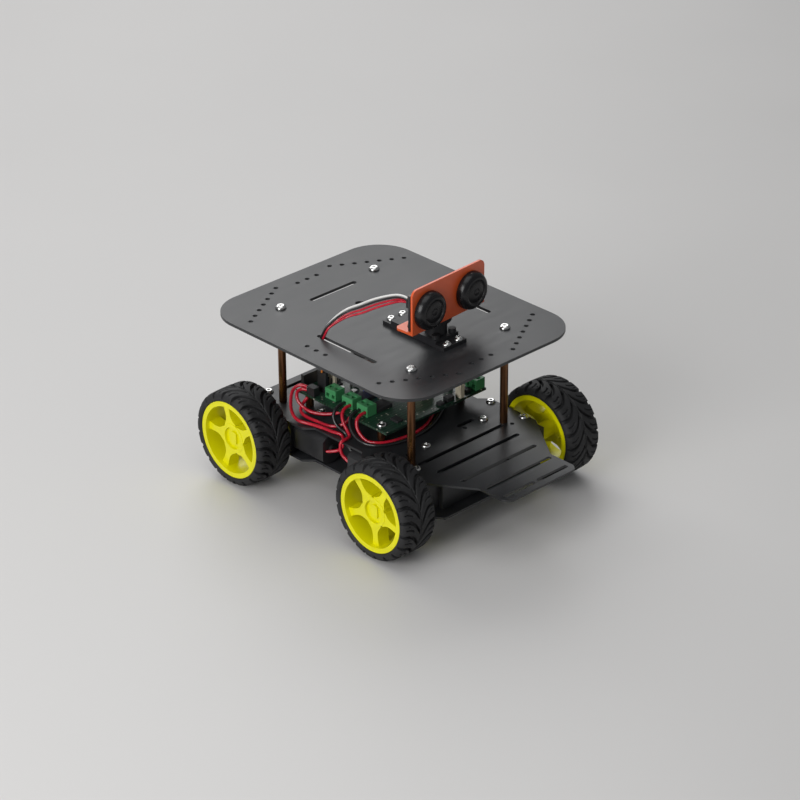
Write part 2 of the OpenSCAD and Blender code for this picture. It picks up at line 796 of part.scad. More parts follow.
// Places children relative to the servo's shaft, turned with the head
module on_head() {
    translate([0, horn_y, 0]) rotate(head_turn) children();
}

module servo_horn() {
    color(gear_black) on_head() difference() {
        union() {
            translate([0, 0, horn_under]) cylinder(r = horn_r, h = horn_z - horn_under);
            translate([0, 0, spline_foot]) cylinder(r = spline_r, h = horn_under - spline_foot + eps);
        }
        translate([0, 0, horn_z - 7]) cylinder(r = 1.3, h = 8);
    }
}

module horn_screw() {
    color(screw_steel) on_head() translate([0, 0, horn_z + bracket_t])
        button_screw(bracket_t + 6, 1.25, 2.6, 1.8);
}

// The bracket's face as a sheet with round corners, drawn standing on z = 0
module face_sheet() {
    w = face_w / 2;
    rotate([90, 0, 0]) linear_extrude(bracket_t) {
        translate([-w, 0]) square([face_w, face_h - bracket_r]);
        translate([-w + bracket_r, 0]) square([face_w - 2 * bracket_r, face_h]);
        for (side = [-1, 1]) translate([side * (w - bracket_r), face_h - bracket_r]) circle(bracket_r);
    }
}

module sensor_bracket() {
    back_y = face_y + bracket_t;
    color(bracket_orange) on_head() difference() {
        union() {
            translate([0, back_y, horn_z]) face_sheet();
            translate([0, 0, horn_z]) linear_extrude(bracket_t) polygon([
                [-face_w / 2, back_y - eps], [-face_w / 2, flange_back - 2], [-face_w / 2 + 2, flange_back],
                [face_w / 2 - 2, flange_back], [face_w / 2, flange_back - 2], [face_w / 2, back_y - eps]]);
        }
        translate([0, 0, horn_z - 1]) cylinder(r = 1.4, h = bracket_t + 2);
        for (side = [-1, 1]) {
            translate([side * sonar_gap / 2, face_y - 1, sonar_z]) rotate([-90, 0, 0])
                cylinder(r = neck_r + 0.1, h = bracket_t + 2);
        }
    }
}

module sensor_board() {
    color(gear_black) on_head() difference() {
        translate([-sensor_board_w / 2, sensor_board_y, sonar_z - sensor_board_h / 2])
            cube([sensor_board_w, sensor_board_t, sensor_board_h]);
        for (side = [-1, 1], up = [-1, 1])
            translate([side * head_hole_x, sensor_board_y - 1, sonar_z + up * head_hole_dz])
                rotate([-90, 0, 0]) cylinder(r = 1.1, h = sensor_board_t + 2);
    }
}

// The socket for the sensor's lead, on the back of the sensor board
module sensor_socket() {
    color(gear_black) on_head() difference() {
        translate([socket_x - 4, sensor_board_y + sensor_board_t, socket_z - 3]) cube([8, socket_l, 6]);
        translate([socket_x - 3, sensor_board_y + sensor_board_t + 1.5, socket_z - 2]) cube([6, socket_l, 4]);
    }
}

// Short pillars between the bracket and the sensor board
module sensor_spacers() {
    gap = sensor_board_y - face_y - bracket_t;
    color(post_bronze) on_head() for (side = [-1, 1], up = [-1, 1])
        translate([side * head_hole_x, face_y + bracket_t, sonar_z + up * head_hole_dz]) rotate([-90, 0, 0]) {
            cylinder(r = 1.9, h = gap);
            cylinder(r = 1.05, h = gap + sensor_board_t);
            translate([0, 0, gap + sensor_board_t]) cylinder(r = 1.9, h = 1.2);
        }
}

// A sonar can: a round cap in front of the bracket, with a neck that goes through it
module sonar(side) {
    front = face_y - sonar_front;
    neck = sensor_board_y - front;
    color(rubber_black) on_head() translate([side * sonar_gap / 2, front, sonar_z]) rotate([-90, 0, 0])
        rotate_extrude() polygon([
            [0, 0.8], [7.5, 0.8], [8.2, 0.2], [9.2, 0.2], [10.6, 0.9], [11.7, 2.1], [12.3, 3.6], [sonar_r, 5.2],
            [sonar_r, sonar_front], [neck_r, sonar_front], [neck_r, neck], [0, neck]]);
}

module sonar_left() sonar(1);
module sonar_right() sonar(-1);

// ---------- cables ----------

// The plug on the end of a lead, pushed over a row of pins: foot is the middle of its base
plug_size = [2.4, 7.8, 12];
plug_foot_z = board_top + pin_base_h;

module lead_plug(x) {
    translate([x - plug_size.x / 2, pin_y - plug_size.y / 2, plug_foot_z]) cube(plug_size);
}

// The sensor's lead: from its socket, over the deck, down a deck slot and to the board
sensor_plug_x = pin_x + pin_pitch / 2;
sensor_route = [
    [-24.9, -21, 147], [-24.8, -14, 146.5], [-25.5, -6, 143.8], [-29.5, 5, 138.5], [-33.5, 14, 133],
    [-37.5, 21.5, 128.8], [-43, 25.5, 124.6], [-48, 28.5, 119.5], [-50, 31, 113], [-49.5, 34.5, 107],
    [-45, 41, 99], [-35, 49, 89.5], [-24, 54.5, 80.5], [-21.2, 55.8, 75], [sensor_plug_x, pin_y, 71.6]
];
sensor_spots = [[0.75, 0.75], [-0.75, 0.75], [0.75, -0.75], [-0.75, -0.75]];
sensor_colors = ["white", "#101010", "#c02020", "#902020"];

module sensor_cable() {
    for (i = [0:3]) color(sensor_colors[i]) tube(sensor_route, lead_r, 2, sensor_spots[i]);
    color(connector_cream) lead_plug(sensor_plug_x);
}

// The servo's lead: out of its front, under the deck past the slot, and to the board
servo_plug_x = pin_x - pin_pitch * 5 / 2;
servo_route = [
    [0, -29.4, 89], [-2, -34, 91], [-12, -35, 98], [-27, -29, 104.5], [-40, -19, 107.3], [-47.5, -10, 107.8],
    [-49.5, 0, 107.6], [-49, 12, 105], [-44.5, 26, 98.5], [-37, 40, 89.5], [-30.5, 51, 80.5], [-28.7, 55.2, 75],
    [servo_plug_x, pin_y, 71.6]
];
servo_colors = ["#e07818", "#b82018", "#4a2a18"];

module servo_lead() {
    for (i = [0:2]) color(servo_colors[i]) tube(servo_route, lead_r, 2, [(i - 1) * 1.35, 0]);
    color(gear_black) lead_plug(servo_plug_x);
}

red_routes = [
    // Power plug, the inner loop that ends under the board
    [[-37.4, 60.8, 59], [-38.8, 64.5, 59], [-42, 65.8, 57.5], [-44.2, 63.2, 53.5], [-43.8, 58, 50],
     [-42.6, 51, 48.4], [-38.5, 44, 48.2], [-34.5, 38, 49.6], [-32, 33.5, 51.8], [-31.6, 32.2, 54]],
    // Rear right motor, the outer loop, then along the waist and down the hole
    [[-37.4, 60.8, 61.4], [-39.4, 66, 61.6], [-44, 68, 58.5], [-49.5, 64, 52.5], [-53.5, 57.5, 48.6],
     [-54.4, 50.5, 46.8], [-51.5, 43.5, 46.3], [-49.2, 34, 46.3], [-48.4, 26, 46.3], [-47, 20.5, 46.3],
     [-46.2, 18.4, 44.6], [-46.2, 18.2, 38], [-48, 21.5, 34], [-52, 27.9, 32.5]],
    // Under the plug and along the board's edge
    [[-37.8, 60.5, 53.8], [-40.5, 61.2, 51.2], [-45.4, 59.3, 47.8], [-47, 52, 46.5], [-46.2, 42, 46.5],
     [-45.4, 33.5, 46.6], [-43, 28, 47.2], [-39.6, 24, 49.2], [-37, 22.4, 52], [-36.5, 22, 54]],
    // Front right motor, over the edge of the waist
    [[-31.8, 25.8, 59.3], [-36, 25.7, 59.4], [-40.4, 24.8, 57.4], [-42.8, 21.6, 53], [-43.4, 17, 48.6],
     [-45, 13, 46.6], [-49.5, 12, 46.5], [-53, 12.2, 46], [-54, 12.2, 42.6], [-53.4, 11, 37],
     [-52, 5.5, 33]],
    // Rear left motor, round the front of the board and down the left hole
    [[-31.8, 11.9, 59.3], [-36, 11.8, 59.4], [-40.3, 11.3, 57.4], [-42.4, 8.6, 52.2], [-41.8, 2, 46.8],
     [-39.2, -4, 46.3], [-33.5, -8.8, 46.3], [-25, -11, 46.3], [-14, -12.2, 46.3], [-4, -10.8, 46.3],
     [6, -7, 46.3], [20, 2, 46.3], [34, 11.5, 46.3], [41.5, 16.8, 46.6], [44.8, 18.6, 46.3],
     [46.3, 18.7, 44], [46.4, 18.8, 38], [48, 22, 34], [52, 27.9, 32.5]]
];
black_routes = [
    // Front right motor, down the right hole
    [[-31.8, 30.8, 59.3], [-36.2, 30.9, 59.4], [-40.8, 31, 57.4], [-43.8, 29.6, 53], [-44.2, 25, 48.6],
     [-43.8, 20, 47], [-43.6, 17.2, 45], [-43.6, 16.6, 38], [-43, 11, 34], [-42, 5.5, 32.5]],
    // Front left motor, beside the red wire and down the left hole
    [[-31.8, 16.9, 59.3], [-36.2, 16.9, 59.4], [-41, 16.5, 57.4], [-44.2, 13.4, 53], [-45.6, 7, 48.6],
     [-44.8, -1, 46.5], [-40, -8.6, 46.3], [-31, -13.2, 46.3], [-20, -15.2, 46.3], [-7, -14.8, 46.3],
     [6, -11, 46.3], [20, -3.4, 46.3], [33, 5.6, 46.3], [40.6, 11.8, 46.5], [43, 14.8, 46.2],
     [43.6, 15.8, 44], [43.6, 16, 38], [43, 11, 34], [42, 5.5, 32.5]]
];

module motor_wires_red() {
    color("#b81420") for (route = red_routes) tube(route, wire_r, 2);
}

module motor_wires_black() {
    color("#121212") for (route = black_routes) tube(route, wire_r, 2);
}

base_top_plate();
base_bottom_plate();
side_channel_left();
side_channel_right();
rear_panel();
front_panel();
deck_posts();
upper_deck();
deck_screws();
plate_screws();
battery_holder();
battery_cells();
battery_contacts();
dc_jack();
switch_housing();
switch_rocker();
gearbox_front_left();
motor_front_left();
shaft_front_left();
rim_front_left();
tyre_front_left();
gearbox_front_right();
motor_front_right();
shaft_front_right();
rim_front_right();
tyre_front_right();
gearbox_rear_left();
motor_rear_left();
shaft_rear_left();
rim_rear_left();
tyre_rear_left();
gearbox_rear_right();
motor_rear_right();
shaft_rear_right();
rim_rear_right();
tyre_rear_right();
motor_screws();
controller_board();
board_spacers();
board_screws();
pin_headers();
screw_terminals();
power_connectors();
board_chips();
board_capacitors();
servo_case();
servo_cap();
servo_screws();
servo_horn();
horn_screw();
sensor_bracket();
sensor_board();
sensor_socket();
sensor_spacers();
sonar_left();
sonar_right();
sensor_cable();
servo_lead();
motor_wires_red();
motor_wires_black();
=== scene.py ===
"""Looks of the four wheel robot chassis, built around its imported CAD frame."""

import json
import math

import bmesh
import bpy
import numpy as np
from mathutils import Matrix, Vector

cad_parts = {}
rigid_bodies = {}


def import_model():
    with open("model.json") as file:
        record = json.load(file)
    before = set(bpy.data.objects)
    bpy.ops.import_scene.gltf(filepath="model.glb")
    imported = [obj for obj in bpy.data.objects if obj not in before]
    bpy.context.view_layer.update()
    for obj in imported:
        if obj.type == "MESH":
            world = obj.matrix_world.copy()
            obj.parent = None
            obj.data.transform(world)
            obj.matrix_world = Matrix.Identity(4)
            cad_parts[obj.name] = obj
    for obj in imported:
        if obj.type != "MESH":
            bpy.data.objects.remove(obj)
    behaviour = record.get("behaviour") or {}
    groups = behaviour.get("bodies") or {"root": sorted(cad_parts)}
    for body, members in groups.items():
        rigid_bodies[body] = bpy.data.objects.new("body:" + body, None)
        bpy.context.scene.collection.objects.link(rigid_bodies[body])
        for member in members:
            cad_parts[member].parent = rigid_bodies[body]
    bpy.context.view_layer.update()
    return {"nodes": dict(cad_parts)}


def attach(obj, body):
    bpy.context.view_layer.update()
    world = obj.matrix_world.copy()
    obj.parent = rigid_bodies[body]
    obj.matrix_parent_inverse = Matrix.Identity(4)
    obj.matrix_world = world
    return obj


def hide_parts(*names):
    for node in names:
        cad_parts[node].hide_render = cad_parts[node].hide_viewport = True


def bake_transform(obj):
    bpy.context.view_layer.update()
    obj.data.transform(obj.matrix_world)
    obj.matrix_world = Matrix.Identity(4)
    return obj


MM = 0.001

# Camera, in millimetres and degrees
CAMERA_AT = (-1193.7, -1238.4, 973.9)
CAMERA_LOOKS_AT = (7.93, 22.19, 49.56)
CAMERA_ROLL = -0.35
LENS = 137.3
SENSOR = 36.0

# Studio, in metres and watts: the lights' name, place, aim, size and power
FLOOR_HALF = 6.0
VIEW_NEAR = 0.05
VIEW_FAR = 20
WORLD_COLOR = (0.9, 0.92, 0.95, 1)
WORLD_STRENGTH = 0.2
LIGHTS = [
    ("back_softbox", (0.5, 1.2, 1.15), (0, 0, 0.1), (1.6, 1.0), 14),
    ("top_softbox", (-0.2, -0.1, 1.5), (0, 0, 0.05), (1.2, 1.2), 6),
    ("side_softbox", (-1.4, -0.2, 0.7), (0, 0, 0.05), (0.9, 0.9), 15),
]

# Surfaces
BLOTCH_FROM = 0.3
BLOTCH_TO = 0.7
BLOTCH_DETAIL = 6.0
GRAIN_DETAIL = 3.0
GRAIN_HEIGHT = 0.0001
COAT_ROUGHNESS = 0.12
LEAST_ROUGHNESS = 0.02

# Tracks and pads of the circuit boards: how many per metre, and their shape as shares of one
TRACKS_PER_M = 130.0
TRACK_LENGTH = 1.7
TRACK_PITCH = 0.32
TRACK_WIDTH = 0.05
PADS_PER_M = 260.0
PAD_SIZE = 0.16
PAD_COLOR = (0.42, 0.4, 0.33)

# Wheels
AXLE_MID_Y = 16.7
WHEELBASE = 132.0
TRACK = 146.8
TYRE_R = 32.5
TYRE_W = 28.0
BEAD_R = 24.5
FLANGE_R = 26.3
WHEELS = {"front_left": (1, -1), "front_right": (-1, -1), "rear_left": (1, 1), "rear_right": (-1, 1)}

# Outside of the tyres: a slightly domed crown between two round shoulders. A shoulder turns by so many
# degrees at each of its steps, and the grooves fade out after the grooved ones.
CROWN_HALF = 10.0
CROWN_STEP = 0.4
CROWN_DROP = 0.35
SHOULDER_R = 4.0
SHOULDER_STEPS = 8
SHOULDER_STEP_TURN = 11.0
GROOVED_STEPS = 5

# Tread: the long grooves start beside the middle of the tyre and end at its shoulder
TREAD_LUGS = 20
TREAD_SHARP_ANGLE = 50.0
TREAD_STEPS = 840
GROOVE_DEPTH = 2.2
SWOOSH_START = 0.9
SWOOSH_END = 10.5
SWOOSH_TURN = 0.95
SWOOSH_HALF = 0.55
SWOOSH_WIDENS = 0.4

# Thin grooves between the long ones: share of a lug after the long one, half width, where each starts and
# ends beside the middle, and share of the depth
THIN_GROOVES = [(0.5, 0.25, 6.0, 11.5, 0.45), (0.25, 0.2, 8.6, 10.6, 0.3)]

# Thin zigzag groove along the middle
ZIGZAG_REACH = 0.5
ZIGZAG_HALF = 0.25
ZIGZAG_SHARE = 0.35

# Sensor head
HORN_Y = -19.0
HEAD_TURN = 3.0
SONAR_X = 19.1
SONAR_Z = 142.6
SONAR_FACE_Y = -10.9
SONAR_R = 12.5
CAP_STEPS = 96
CAP_SHARP_ANGLE = 28.0

# The sonar caps' bulging shoulder, a quarter of an ellipse: its middle and half axes, as (radius, height)
CAP_SHOULDER_AT = (8.9, 1.3)
CAP_SHOULDER_HALF = (3.6, 5.0)

# From the shoulder to the middle of a cap, as (radius, height): a step, a groove, a ring and a button
CAP_FACE = [
    (8.3, 6.3), (7.9, 6.1), (7.6, 5.6), (7.2, 5.5), (6.8, 5.7), (5.6, 5.95), (3.2, 6.1), (2.6, 6.05),
    (2.3, 5.75), (2.0, 5.75), (1.7, 6.0), (0.9, 6.15), (0.0, 6.2),
]

# Neck of a cap, that runs through the bracket
NECK_R = 11.0
NECK_LENGTH = 3.5
NECK_STEPS = 64

# Parts on the board that have a colour of their own: the corners of the rectangle that each stands on
POWER_PLUG = ((-39, 53), (-33, 61))
BLUE_PART = ((-10.6, 30.4), (-3.4, 37.6))

# Plugs on the pin strip of the board
PIN_Y = 56.0
PLUG_FOOT_Z = 59.1
PLUG_SIZE = (2.4, 7.8, 12.0)
PLUG_EDGE_R = 0.2
SENSOR_PLUG_X = -20.73
SERVO_PLUG_X = -28.35

# Wires. One that starts more steeply than this has its "up" along X.
STEEP = 0.9
INSULATION = 0.3
SERVO_WIRE_R = 0.6
SERVO_WIRE_PITCH = 1.35
SENSOR_WIRE_R = 0.72
SENSOR_WIRE_PITCH = 1.5

# The sensor's wires: row and column in the lead, how far each bulges (up, across), and its material
SENSOR_WIRES = {
    "white": (1, 1, (1.3, 0.6), "wire_white"),
    "black": (1, -1, (-0.2, 0.7), "wire_black"),
    "red_a": (-1, 1, (-0.5, -1.0), "wire_red"),
    "red_b": (-1, -1, (-2.5, -0.2), "wire_red"),
}

# Share of the sensor's lead that is above the deck
SLOT_SHARE = 0.5

# Routes of the two leads, from the head or the servo to the pins
SENSOR_ROUTE = [
    (-24.9, -21, 147), (-24.8, -14, 146.5), (-25.5, -6, 143.8), (-29.5, 5, 138.5), (-33.5, 14, 133),
    (-37.5, 21.5, 128.8), (-43, 25.5, 124.6), (-48, 28.5, 119.5), (-50, 31, 113), (-49.5, 34.5, 107),
    (-45, 41, 99), (-35, 49, 89.5), (-24, 54.5, 80.5), (-21.2, 55.8, 75),
    (SENSOR_PLUG_X, PIN_Y, 71),
]
SERVO_ROUTE = [
    (0, -29.4, 89), (-2, -34, 91), (-12, -35, 98), (-27, -29, 104.5), (-40, -19, 107.3),
    (-47.5, -10, 107.8), (-49.5, 0, 107.6), (-49, 12, 105), (-44.5, 26, 98.5), (-37, 40, 89.5),
    (-30.5, 51, 80.5), (-28.7, 55.2, 75), (SERVO_PLUG_X, PIN_Y, 71),
]

# Rounding of the CAD nodes: points nearer than this, in metres, are one, and so are faces within this angle
WELD_GAP = 0.00001
FLAT_WITHIN = 0.5


# ---------- materials ----------

def noise(nodes, links, where, scale, detail):
    """Noise over a surface."""
    node = nodes.new("ShaderNodeTexNoise")
    node.inputs["Scale"].default_value = scale
    node.inputs["Detail"].default_value = detail
    links.new(where, node.inputs["Vector"])
    return node.outputs["Fac"]


def surface(name, color, rough, metallic=0.0, mottle=0.12, scale=60.0, rough_spread=0.08,
            bump=0.15, grain=900.0, stretch=(1, 1, 1), coat=0.0, ior=1.5):
    """A material whose colour, gloss and relief vary over the surface. scale and grain are per metre."""
    material = bpy.data.materials.new(name)
    material.use_nodes = True
    nodes, links = material.node_tree.nodes, material.node_tree.links
    shader = nodes["Principled BSDF"]
    shader.inputs["Metallic"].default_value = metallic
    shader.inputs["IOR"].default_value = ior
    shader.inputs["Coat Weight"].default_value = coat
    shader.inputs["Coat Roughness"].default_value = COAT_ROUGHNESS
    where = nodes.new("ShaderNodeTexCoord")
    mapping = nodes.new("ShaderNodeMapping")
    mapping.inputs["Scale"].default_value = stretch
    links.new(where.outputs["Object"], mapping.inputs["Vector"])
    blotch = noise(nodes, links, mapping.outputs["Vector"], scale, BLOTCH_DETAIL)
    ramp = nodes.new("ShaderNodeValToRGB")
    dark, light = ramp.color_ramp.elements
    dark.position = BLOTCH_FROM
    light.position = BLOTCH_TO
    dark.color = (*[c * (1 - mottle) for c in color], 1)
    light.color = (*[min(1.0, c * (1 + mottle)) for c in color], 1)
    links.new(blotch, ramp.inputs["Fac"])
    links.new(ramp.outputs["Color"], shader.inputs["Base Color"])
    gloss = nodes.new("ShaderNodeMapRange")
    gloss.inputs["To Min"].default_value = max(LEAST_ROUGHNESS, rough - rough_spread)
    gloss.inputs["To Max"].default_value = min(1.0, rough + rough_spread)
    links.new(blotch, gloss.inputs["Value"])
    links.new(gloss.outputs["Result"], shader.inputs["Roughness"])
    relief = nodes.new("ShaderNodeBump")
    relief.inputs["Strength"].default_value = bump
    relief.inputs["Distance"].default_value = GRAIN_HEIGHT
    links.new(noise(nodes, links, mapping.outputs["Vector"], grain, GRAIN_DETAIL), relief.inputs["Height"])
    links.new(relief.outputs["Normal"], shader.inputs["Normal"])
    return material


def painted_over(nodes, links, under, color, share):
    """The colour of a socket, with another painted over it where share is 1."""
    mix = nodes.new("ShaderNodeMix")
    mix.data_type = "RGBA"
    links.new(share, mix.inputs["Factor"])
    links.new(under, mix.inputs["A"])
    mix.inputs["B"].default_value = (*color, 1)
    return mix.outputs["Result"]


def circuit_board(name, mask_color, track_color):
    """Solder mask with lighter tracks and small tinned pads."""
    material = surface(name, mask_color, 0.32, mottle=0.25, scale=90, bump=0.05, ior=1.55)
    nodes, links = material.node_tree.nodes, material.node_tree.links
    shader = nodes["Principled BSDF"]
    where = next(n for n in nodes if n.type == "MAPPING").outputs["Vector"]
    mask = shader.inputs["Base Color"].links[0].from_socket
    tracks = nodes.new("ShaderNodeTexBrick")
    tracks.inputs["Scale"].default_value = TRACKS_PER_M
    tracks.inputs["Mortar Size"].default_value = TRACK_WIDTH
    tracks.inputs["Brick Width"].default_value = TRACK_LENGTH
    tracks.inputs["Row Height"].default_value = TRACK_PITCH
    links.new(where, tracks.inputs["Vector"])
    pads = nodes.new("ShaderNodeTexVoronoi")
    pads.inputs["Scale"].default_value = PADS_PER_M
    links.new(where, pads.inputs["Vector"])
    dots = nodes.new("ShaderNodeMath")
    dots.operation = "LESS_THAN"
    dots.inputs[1].default_value = PAD_SIZE
    links.new(pads.outputs["Distance"], dots.inputs[0])
    with_tracks = painted_over(nodes, links, mask, track_color, tracks.outputs["Fac"])
    with_pads = painted_over(nodes, links, with_tracks, PAD_COLOR, dots.outputs["Value"])
    links.new(with_pads, shader.inputs["Base Color"])
    return material


def make_materials():
    """All materials by a short name."""
    return {
        "plate": surface("satin_black", (0.021, 0.022, 0.024), 0.40, scale=35, rough_spread=0.07, bump=0.10,
                         grain=700, stretch=(1, 6, 1), mottle=0.18),
        "bronze": surface("dark_bronze", (0.16, 0.075, 0.035), 0.28, metallic=0.9, scale=120, bump=0.08,
                          stretch=(1, 1, 0.2)),
        "steel": surface("bright_steel", (0.62, 0.62, 0.61), 0.24, metallic=1.0, scale=300, bump=0.06,
                         mottle=0.08),
        "black": surface("black_plastic", (0.016, 0.016, 0.018), 0.46, scale=150, bump=0.25, grain=2500),
        "yellow": surface("yellow_plastic", (0.80, 0.76, 0.0), 0.34, scale=45, mottle=0.05, bump=0.06,
                          grain=1200),
        "tyre": surface("tyre_rubber", (0.012, 0.012, 0.013), 0.66, scale=80, mottle=0.35, bump=0.4,
                        grain=1600, rough_spread=0.12),
        "orange": surface("orange_metal", (0.72, 0.10, 0.018), 0.36, scale=60, mottle=0.06, bump=0.07,
                          grain=1100, ior=1.7),
        "dome": surface("soft_black_rubber", (0.007, 0.007, 0.008), 0.27, scale=90, bump=0.12, grain=1800,
                        ior=1.42),
        "board": circuit_board("circuit_board", (0.008, 0.03, 0.018), (0.02, 0.075, 0.04)),
        "black_board": circuit_board("black_circuit_board", (0.012, 0.012, 0.014), (0.03, 0.03, 0.034)),
        "green": surface("terminal_green", (0.06, 0.29, 0.11), 0.42, scale=120, mottle=0.08, bump=0.08),
        "cream": surface("connector_cream", (0.70, 0.63, 0.48), 0.5, scale=150, mottle=0.06, bump=0.08),
        "can": surface("drawn_steel", (0.5, 0.5, 0.49), 0.32, metallic=0.95, scale=90, bump=0.08),
        "dark_can": surface("dark_can", (0.035, 0.035, 0.037), 0.36, metallic=0.3, scale=90, bump=0.08,
                            mottle=0.2),
        "chip": surface("chip_black", (0.02, 0.02, 0.021), 0.55, scale=400, bump=0.2, grain=3000),
        "blue": surface("blue_plastic", (0.02, 0.05, 0.42), 0.4, scale=200, mottle=0.08, bump=0.08),
        "wrap": surface("cell_sleeve", (0.03, 0.12, 0.3), 0.25, scale=90, mottle=0.1, bump=0.05),
        "switch_red": surface("switch_red", (0.5, 0.02, 0.02), 0.3, scale=150, mottle=0.06, bump=0.06),
        "nylon": surface("white_nylon", (0.75, 0.74, 0.7), 0.45, scale=120, mottle=0.06, bump=0.08),
        "wire_red": surface("wire_red", (0.52, 0.010, 0.03), 0.26, scale=150, bump=0.05, coat=0.35),
        "wire_black": surface("wire_black", (0.013, 0.013, 0.014), 0.3, scale=150, bump=0.05, coat=0.2),
        "wire_white": surface("wire_white", (0.75, 0.74, 0.72), 0.35, scale=150, mottle=0.06, bump=0.05),
        "wire_orange": surface("wire_orange", (0.62, 0.17, 0.015), 0.32, scale=150, mottle=0.08, bump=0.05),
        "wire_brown": surface("wire_brown", (0.09, 0.03, 0.015), 0.32, scale=150, mottle=0.1, bump=0.05),
    }


# The CAD nodes that each material is on
NODE_MATERIALS = {
    "plate": ["base_top_plate", "base_bottom_plate", "side_channel_left", "side_channel_right", "rear_panel",
              "front_panel", "upper_deck"],
    "bronze": ["deck_posts", "board_spacers", "sensor_spacers"],
    "steel": ["deck_screws", "plate_screws", "battery_contacts", "motor_screws", "board_screws",
              "servo_screws", "horn_screw"],
    "black": ["battery_holder", "dc_jack", "switch_housing", "pin_headers", "servo_case", "servo_cap",
              "servo_horn", "sensor_socket", *[f"gearbox_{w}" for w in WHEELS]],
    "yellow": [f"rim_{w}" for w in WHEELS],
    "orange": ["sensor_bracket"],
    "board": ["controller_board"],
    "black_board": ["sensor_board"],
    "green": ["screw_terminals"],
    "cream": ["power_connectors"],
    "can": ["board_capacitors"],
    "dark_can": [f"motor_{w}" for w in WHEELS],
    "chip": ["board_chips"],
    "wrap": ["battery_cells"],
    "switch_red": ["switch_rocker"],
    "nylon": [f"shaft_{w}" for w in WHEELS],
    "wire_red": ["motor_wires_red"],
    "wire_black": ["motor_wires_black"],
}

# Radius in millimetres of the rounded edges of each CAD node that is shown
EDGES = {
    "upper_deck": 0.25, "base_top_plate": 0.25, "base_bottom_plate": 0.25, "side_channel_left": 0.25,
    "side_channel_right": 0.25, "rear_panel": 0.25, "front_panel": 0.25, "sensor_bracket": 0.25,
    "servo_case": 0.5, "servo_cap": 0.5, "controller_board": 0.12, "sensor_board": 0.12,
    "battery_holder": 0.4, "screw_terminals": 0.2, "power_connectors": 0.2, "pin_headers": 0.12,
    "board_chips": 0.15, "board_capacitors": 0.3, "deck_screws": 0.15, "plate_screws": 0.15,
    "board_screws": 0.15, "servo_screws": 0.15, "horn_screw": 0.15, "motor_screws": 0.15,
    "servo_horn": 0.3, "switch_housing": 0.3, "switch_rocker": 0.3, "dc_jack": 0.25,
}
EDGES.update({f"rim_{w}": 0.35 for w in WHEELS})
EDGES.update({f"gearbox_{w}": 0.6 for w in WHEELS})


# ---------- mesh helpers ----------

def piece(name, points, faces, material, body, angle=35.0):
    """A mesh piece in metres from points in millimetres, riding on a body."""
    mesh = bpy.data.meshes.new(name)
    mesh.from_pydata([tuple(c * MM for c in p) for p in points], [], faces)
    mesh.materials.append(material)
    mesh.validate()
    turned = bmesh.new()
    turned.from_mesh(mesh)
    bmesh.ops.recalc_face_normals(turned, faces=turned.faces)
    turned.to_mesh(mesh)
    turned.free()
    mesh.shade_smooth()
    mesh.set_sharp_from_angle(angle=math.radians(angle))
    item = bpy.data.objects.new(name, mesh)
    bpy.context.scene.collection.objects.link(item)
    if body:
        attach(item, body)
    return item


def lathe(profile, steps):
    """Points and faces of a closed profile of (radius, height) turned about Z."""
    points, faces = [], []
    count = len(profile)
    for i in range(steps):
        turn = 2 * math.pi * i / steps
        points += [(r * math.cos(turn), r * math.sin(turn), h) for r, h in profile]
    for i in range(steps):
        near, far = i * count, (i + 1) % steps * count
        for k in range(count - 1):
            faces.append((near + k, far + k, far + k + 1, near + k + 1))
    return points, faces


def smooth_route(route, steps):
    """The smooth curve through all points of a route, as numpy points."""
    p = [np.array(q, float) for q in route]
    p = [2 * p[0] - p[1], *p, 2 * p[-1] - p[-2]]
    line = []
    for i in range(1, len(p) - 2):
        a, b, c, d = p[i - 1:i + 3]
        for k in range(steps):
            t = k / steps
            line.append(0.5 * (2 * b + (c - a) * t + (2 * a - 5 * b + 4 * c - d) * t * t
                               + (3 * b - a - 3 * c + d) * t ** 3))
    return line + [p[-2]]


def tube(route, radius, beside, steps=6, sides=12):
    """Points and faces of a round tube. beside(share) is its place (up, across) at a share of the route."""
    line = smooth_route(route, steps)
    last = len(line) - 1
    headings = [line[min(i + 1, last)] - line[max(i - 1, 0)] for i in range(last + 1)]
    headings = [h / np.linalg.norm(h) for h in headings]
    side = np.array((1.0, 0.0, 0.0) if abs(headings[0][2]) >= STEEP else (0.0, 0.0, 1.0))
    points, faces = [], []
    for i, (at, heading) in enumerate(zip(line, headings)):
        side = side - side.dot(heading) * heading
        side = side / np.linalg.norm(side)
        across = np.cross(heading, side)
        up, aside = beside(i / last)
        centre = at + up * side + aside * across
        for k in range(sides):
            turn = 2 * math.pi * k / sides
            points.append(tuple(centre + radius * (math.cos(turn) * side + math.sin(turn) * across)))
    for i in range(last):
        for k in range(sides):
            n = (k + 1) % sides
            faces.append((i * sides + k, (i + 1) * sides + k, (i + 1) * sides + n, i * sides + n))
    faces.append(tuple(range(sides)))
    faces.append(tuple(last * sides + k for k in reversed(range(sides))))
    return points, faces


def box_mesh(middle, size):
    """Points and faces of a box."""
    points = [tuple(middle[a] + (1 if k >> a & 1 else -1) * size[a] / 2 for a in range(3)) for k in range(8)]
    faces = [(0, 1, 3, 2), (4, 6, 7, 5), (0, 4, 5, 1), (2, 3, 7, 6), (0, 2, 6, 4), (1, 5, 7, 3)]
    return points, faces


def joined(parts):
    """Several (points, faces) as one."""
    points, faces = [], []
    for some, theirs in parts:
        faces += [tuple(i + len(points) for i in face) for face in theirs]
        points += some
    return points, faces


def weld(item):
    """Joins the points that the CAD's triangles share."""
    joint = item.modifiers.new("weld", "WELD")
    joint.merge_threshold = WELD_GAP


